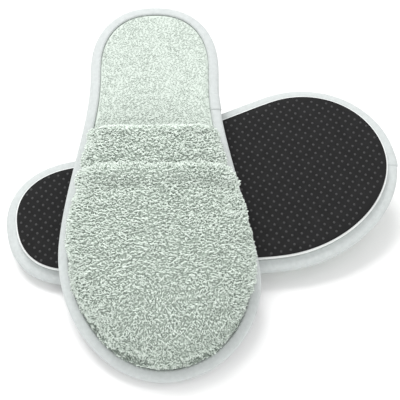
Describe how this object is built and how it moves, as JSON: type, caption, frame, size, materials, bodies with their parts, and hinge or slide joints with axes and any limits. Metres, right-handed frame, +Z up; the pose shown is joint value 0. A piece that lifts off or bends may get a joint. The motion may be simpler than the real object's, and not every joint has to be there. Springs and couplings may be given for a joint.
{
  "type": "spa slippers",
  "caption": "Pair of closed-toe terry spa slippers with bound edges and dotted non-slip soles, one lying sole down across the other, which lies sole up.",
  "frame": {"origin": "on the ground, under the middle of the pair's box", "axes": "+Z up; +X towards the toe of the under slipper; the toe of the top slipper points to -Y"},
  "size_m": [0.2462, 0.238, 0.0847],
  "materials": {
    "upper_terry": "pale sage terry with dense loops",
    "insole_terry": "pale sage terry, flattened pile",
    "binding_tape": "smooth pale grey-green knitted tape",
    "wadding": "soft white polyester wadding",
    "lining": "plain woven lining",
    "non_slip_skin": "black textile-backed skin with small raised grey dots",
    "outsole_foam": "white closed-cell foam, matt cut edge",
    "insole_foam": "white soft foam",
    "stiffening_board": "grey-brown fibre board"
  },
  "bodies": {
    "under_slipper": {"under_outsole_skin": "non_slip_skin", "under_outsole_foam": "outsole_foam", "under_insole_board": "stiffening_board", "under_insole_foam": "insole_foam", "under_insole_terry": "insole_terry", "under_edge_binding": "binding_tape", "under_upper_terry": "upper_terry", "under_upper_wadding": "wadding", "under_upper_lining": "lining", "under_hem_band": "upper_terry"},
    "under_slipper_heel": {"under_heel_outsole_skin": "non_slip_skin", "under_heel_outsole_foam": "outsole_foam", "under_heel_insole_board": "stiffening_board", "under_heel_insole_foam": "insole_foam", "under_heel_insole_terry": "insole_terry", "under_heel_edge_binding": "binding_tape"},
    "top_slipper": {"top_outsole_skin": "non_slip_skin", "top_outsole_foam": "outsole_foam", "top_insole_board": "stiffening_board", "top_insole_foam": "insole_foam", "top_insole_terry": "insole_terry", "top_edge_binding": "binding_tape", "top_upper_terry": "upper_terry", "top_upper_wadding": "wadding", "top_upper_lining": "lining", "top_hem_band": "upper_terry"},
    "top_slipper_heel": {"top_heel_outsole_skin": "non_slip_skin", "top_heel_outsole_foam": "outsole_foam", "top_heel_insole_board": "stiffening_board", "top_heel_insole_foam": "insole_foam", "top_heel_insole_terry": "insole_terry", "top_heel_edge_binding": "binding_tape"}
  },
  "joints": [
    {"name": "top_slipper_lift", "type": "slide", "parent": "under_slipper", "child": "top_slipper", "axis": [0, 0, 1], "range_m": [0, 0.15]},
    {"name": "top_sole_flex", "type": "hinge", "parent": "top_slipper", "child": "top_slipper_heel", "pos_m": [-0.03013, 0.03608, 0.05793], "axis": [0.9997, 0.0244, 0], "range_deg": [0, 60], "stiffness_Nm_per_rad": 0.2, "springref_deg": -11.46},
    {"name": "under_sole_flex", "type": "hinge", "parent": "under_slipper", "child": "under_slipper_heel", "pos_m": [-0.03763, -0.00385, 0.01895], "axis": [0.1922, -0.9382, -0.288], "range_deg": [0, 60], "stiffness_Nm_per_rad": 0.2, "springref_deg": -11.46}
  ]
}
